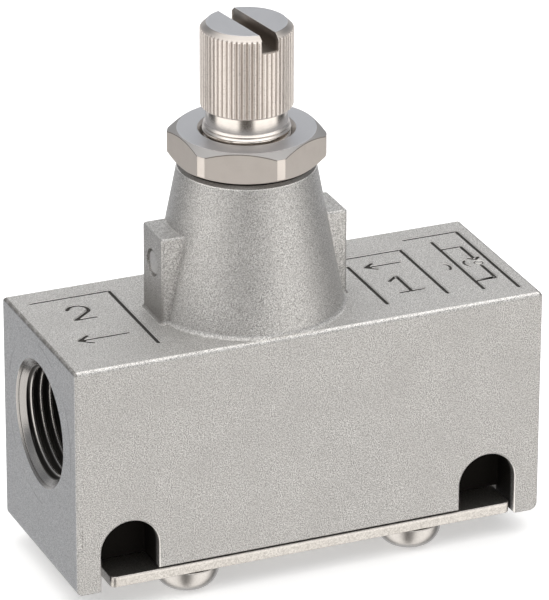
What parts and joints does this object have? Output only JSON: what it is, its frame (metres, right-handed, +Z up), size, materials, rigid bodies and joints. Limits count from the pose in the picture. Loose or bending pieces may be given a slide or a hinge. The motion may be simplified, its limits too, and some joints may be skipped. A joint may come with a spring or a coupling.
{
  "type": "flow control valve",
  "caption": "In-line one-way flow control valve: block with two threaded ports, conical tower, knurled slotted screw with hex lock nut, needle, sprung check poppet and screwed base cover.",
  "frame": {"origin": "on the resting plane at the bottom of the cover screws' heads, at the middle of the block's length and width", "axes": "+X along the block towards the inlet port, -Y towards the front face, +Z up along the tower and the throttle screw"},
  "size_m": [0.068, 0.027, 0.0763],
  "materials": {
    "cast_body": "satin",
    "nickel_plate": "satin",
    "zinc_screw": "satin",
    "steel_pin": "satin",
    "spring_steel": "satin",
    "dark_steel": "satin",
    "brass": "satin",
    "black_rubber": "matte",
    "black_fibre": "matte"
  },
  "bodies": {
    "housing": {"valve_body": "cast_body", "stem_bush": "brass", "outlet_guide_pin": "steel_pin", "inlet_guide_pin": "steel_pin", "seat_ring": "brass", "check_spring": "spring_steel", "cover_plate": "zinc_screw", "cover_gasket": "black_fibre", "cover_screw_front_left": "zinc_screw", "cover_screw_front_right": "zinc_screw", "cover_screw_rear_left": "zinc_screw", "cover_screw_rear_right": "zinc_screw"},
    "needle": {"needle_stem": "steel_pin", "stem_seal": "black_rubber"},
    "knob": {"adjusting_knob": "nickel_plate", "retaining_ring": "dark_steel"},
    "washer": {"nut_washer": "black_fibre"},
    "nut": {"lock_nut": "nickel_plate"},
    "poppet": {"check_poppet": "brass", "poppet_seal": "black_rubber"}
  },
  "joints": [
    {"name": "needle_lift", "type": "slide", "parent": "housing", "child": "needle", "axis": [0, 0, 1], "range_m": [-0.0014, 0.0036]},
    {"name": "knob_turn", "type": "hinge", "parent": "needle", "child": "knob", "pos_m": [-0.0039, 0, 0.06], "axis": [0, 0, 1], "range_deg": [-504, 1296]},
    {"name": "nut_lift", "type": "slide", "parent": "housing", "child": "washer", "axis": [0, 0, 1], "range_m": [0, 0.0015]},
    {"name": "nut_turn", "type": "hinge", "parent": "washer", "child": "nut", "pos_m": [-0.0039, 0, 0.06], "axis": [0, 0, 1], "range_deg": [0, 540]},
    {"name": "check_lift", "type": "slide", "parent": "housing", "child": "poppet", "axis": [0, 0, -1], "range_m": [0, 0.0024], "stiffness_N_per_m": 300, "springref_m": -0.004, "deforming": ["check_spring"]}
  ],
  "couplings": [
    {"joint": "knob_turn", "follows": "needle_lift", "rad_per_m": 6283.2},
    {"joint": "nut_turn", "follows": "nut_lift", "rad_per_m": 6283.2}
  ]
}
